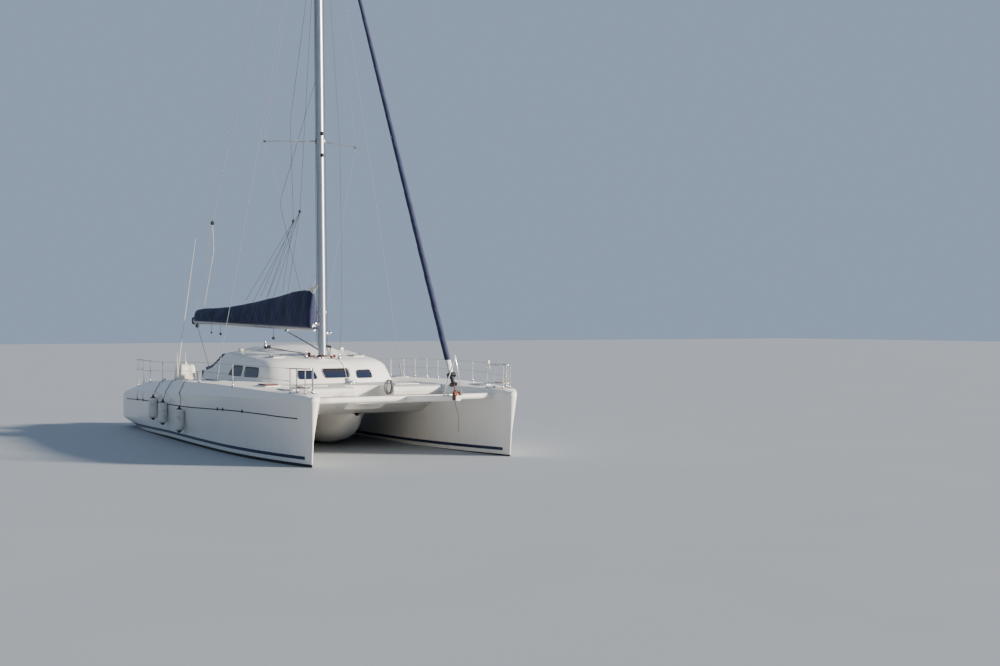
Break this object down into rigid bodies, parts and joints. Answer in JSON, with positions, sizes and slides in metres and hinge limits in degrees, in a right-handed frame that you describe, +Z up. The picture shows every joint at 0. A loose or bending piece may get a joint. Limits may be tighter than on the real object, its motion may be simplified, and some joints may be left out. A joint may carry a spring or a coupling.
{
  "type": "sailing catamaran",
  "caption": "Cruising sailing catamaran afloat: two hulls, bridgedeck, saloon, cockpit, mast, furled headsail and boom with sail cover.",
  "frame": {"origin": "on the waterline and the centreline, midships between the two hulls", "axes": "+X forward to the bows, +Y to port, +Z up"},
  "size_m": [15.36, 6.6009, 19.345],
  "materials": {
    "gelcoat": "gloss gelcoat over glass fibre",
    "deck": "satin gelcoat with moulded non-slip",
    "antifoul": "matt bottom paint",
    "glass": "dark tinted acrylic",
    "alloy": "anodised",
    "steel": "polished stainless",
    "bronze": "dull bronze",
    "canvas": "navy acrylic canvas",
    "vinyl": "soft moulded vinyl",
    "mesh": "open polyester net",
    "black": "moulded"
  },
  "bodies": {
    "root": {"hull_starboard": "gelcoat", "hull_port": "gelcoat", "keel_starboard": "antifoul", "keel_port": "antifoul", "drive_leg_starboard": "black", "drive_leg_port": "black", "bridgedeck": "deck", "coachroof": "gelcoat", "window_side_aft_starboard": "glass", "window_side_aft_port": "glass", "window_side_fore_starboard": "glass", "window_side_fore_port": "glass", "window_front_starboard": "glass", "window_front_centre": "glass", "window_front_port": "glass", "mast": "alloy", "spreader_starboard": "alloy", "spreader_port": "alloy", "shroud_starboard": "steel", "shroud_port": "steel", "forestay_foot": "steel", "forestay_head": "steel", "gooseneck": "steel", "vang_bracket": "steel", "cross_beam": "gelcoat", "catwalk": "gelcoat", "bowsprit": "gelcoat", "sprit_frame": "steel", "net_starboard": "mesh", "net_port": "mesh", "bow_pulpit_starboard": "steel", "bow_pulpit_port": "steel", "stern_rail_starboard": "steel", "stern_rail_port": "steel", "lifeline_starboard": "steel", "lifeline_port": "steel", "fender_aft": "vinyl", "fender_middle": "vinyl", "fender_fore": "vinyl", "helm_seat": "gelcoat", "wheel_mount": "black"},
    "rudder_starboard": {"rudder_starboard": "antifoul"},
    "rudder_port": {"rudder_port": "antifoul"},
    "wheel": {"steering_wheel": "steel"},
    "propeller_starboard": {"propeller_starboard": "bronze"},
    "propeller_port": {"propeller_port": "bronze"},
    "boom": {"boom": "alloy", "sail_cover": "canvas", "vang": "alloy"},
    "headsail": {"headsail_roll": "canvas", "furling_drum": "black"},
    "saloon_door": {"saloon_door": "glass"},
    "roof_hatch_starboard": {"roof_hatch_starboard": "black"},
    "roof_hatch_port": {"roof_hatch_port": "black"},
    "foredeck_lid_starboard": {"foredeck_lid_starboard": "deck"},
    "foredeck_lid_port": {"foredeck_lid_port": "deck"}
  },
  "joints": [
    {"name": "rudder_starboard_turn", "type": "hinge", "parent": "root", "child": "rudder_starboard", "pos_m": [-5, -2.395, -0.3], "axis": [0, 0, 1], "range_deg": [-35, 35]},
    {"name": "rudder_port_turn", "type": "hinge", "parent": "root", "child": "rudder_port", "pos_m": [-5, 2.395, -0.3], "axis": [0, 0, 1], "range_deg": [-35, 35]},
    {"name": "wheel_turn", "type": "hinge", "parent": "root", "child": "wheel", "pos_m": [-1.28, -1.01, 1.69], "axis": [1, 0, 0], "range_deg": [-350, 350]},
    {"name": "propeller_starboard_spin", "type": "hinge", "parent": "root", "child": "propeller_starboard", "pos_m": [-4.23, -2.395, -0.76], "axis": [1, 0, 0], "continuous": true},
    {"name": "propeller_port_spin", "type": "hinge", "parent": "root", "child": "propeller_port", "pos_m": [-4.23, 2.395, -0.76], "axis": [1, 0, 0], "continuous": true},
    {"name": "boom_swing", "type": "hinge", "parent": "root", "child": "boom", "pos_m": [0.77824, 0, 2.91], "axis": [-0.0244, 0, 0.9997], "range_deg": [-96, 54]},
    {"name": "headsail_furl", "type": "hinge", "parent": "root", "child": "headsail", "pos_m": [8.4, 0, 1.515], "axis": [-0.4751, 0, 0.8799], "continuous": true},
    {"name": "saloon_door_slide", "type": "slide", "parent": "root", "child": "saloon_door", "axis": [0, 1, 0], "range_m": [0, 0.78]},
    {"name": "roof_hatch_starboard_open", "type": "hinge", "parent": "root", "child": "roof_hatch_starboard", "pos_m": [0.51197, -1.09, 2.21693], "axis": [0, -1, 0], "range_deg": [0, 85]},
    {"name": "roof_hatch_port_open", "type": "hinge", "parent": "root", "child": "roof_hatch_port", "pos_m": [0.51197, 1.09, 2.21693], "axis": [0, -1, 0], "range_deg": [0, 85]},
    {"name": "foredeck_lid_starboard_open", "type": "hinge", "parent": "root", "child": "foredeck_lid_starboard", "pos_m": [3.565, -1.19, 1.5624], "axis": [0, 1, 0], "range_deg": [0, 90]},
    {"name": "foredeck_lid_port_open", "type": "hinge", "parent": "root", "child": "foredeck_lid_port", "pos_m": [3.565, 1.19, 1.5624], "axis": [0, 1, 0], "range_deg": [0, 90]}
  ],
  "couplings": [
    {"joint": "rudder_port_turn", "follows": "rudder_starboard_turn", "ratio": 1},
    {"joint": "wheel_turn", "follows": "rudder_starboard_turn", "ratio": 10}
  ]
}
